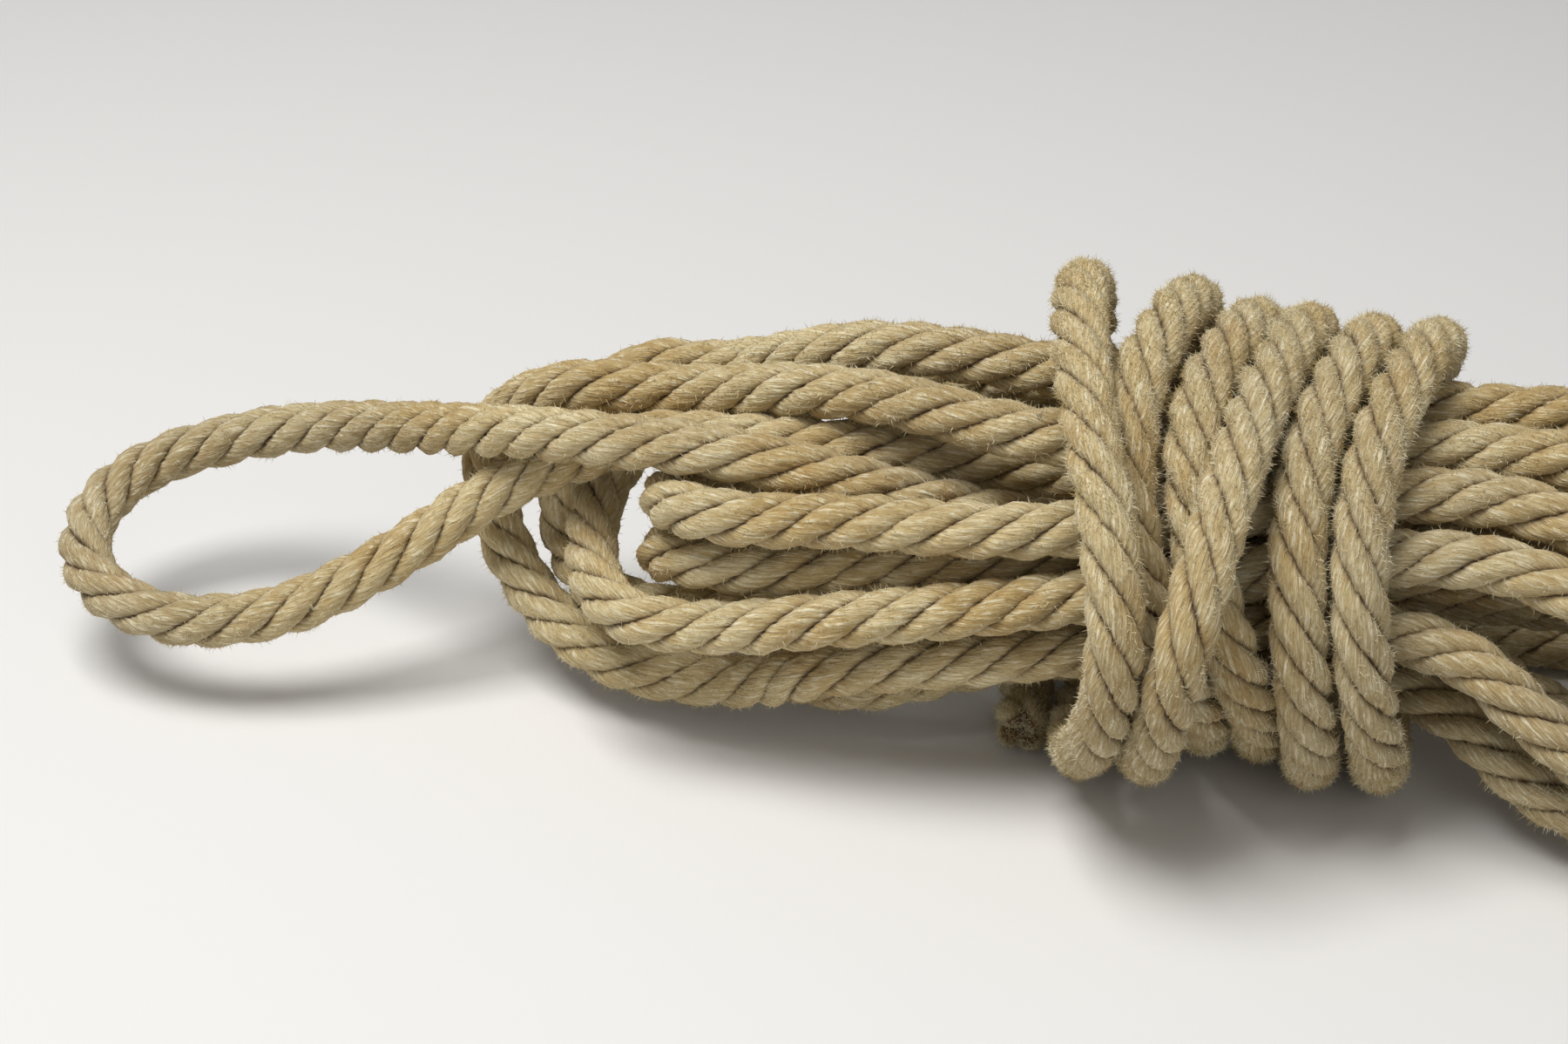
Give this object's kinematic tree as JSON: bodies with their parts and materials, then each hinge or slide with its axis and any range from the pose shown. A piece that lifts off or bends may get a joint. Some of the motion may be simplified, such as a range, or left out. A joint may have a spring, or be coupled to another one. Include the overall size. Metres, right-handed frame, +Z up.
{
  "type": "dynamic climbing rope",
  "caption": "Laid rope made up as a hank: long loops drawn in at the waist by turns of the same rope, with an eye at one end to hang it by.",
  "frame": {"origin": "middle of the hank's footprint, on the floor that it lies on", "axes": "+X along the hank away from the eye, +Y to the back, +Z up"},
  "size_m": [0.4078, 0.1142, 0.101],
  "materials": {
    "rope": "matt natural fibre with a short fuzz"
  },
  "bodies": {
    "root": {"hank_loops": "rope", "waist_wraps": "rope", "hanging_eye": "rope", "running_end": "rope"}
  },
  "joints": []
}
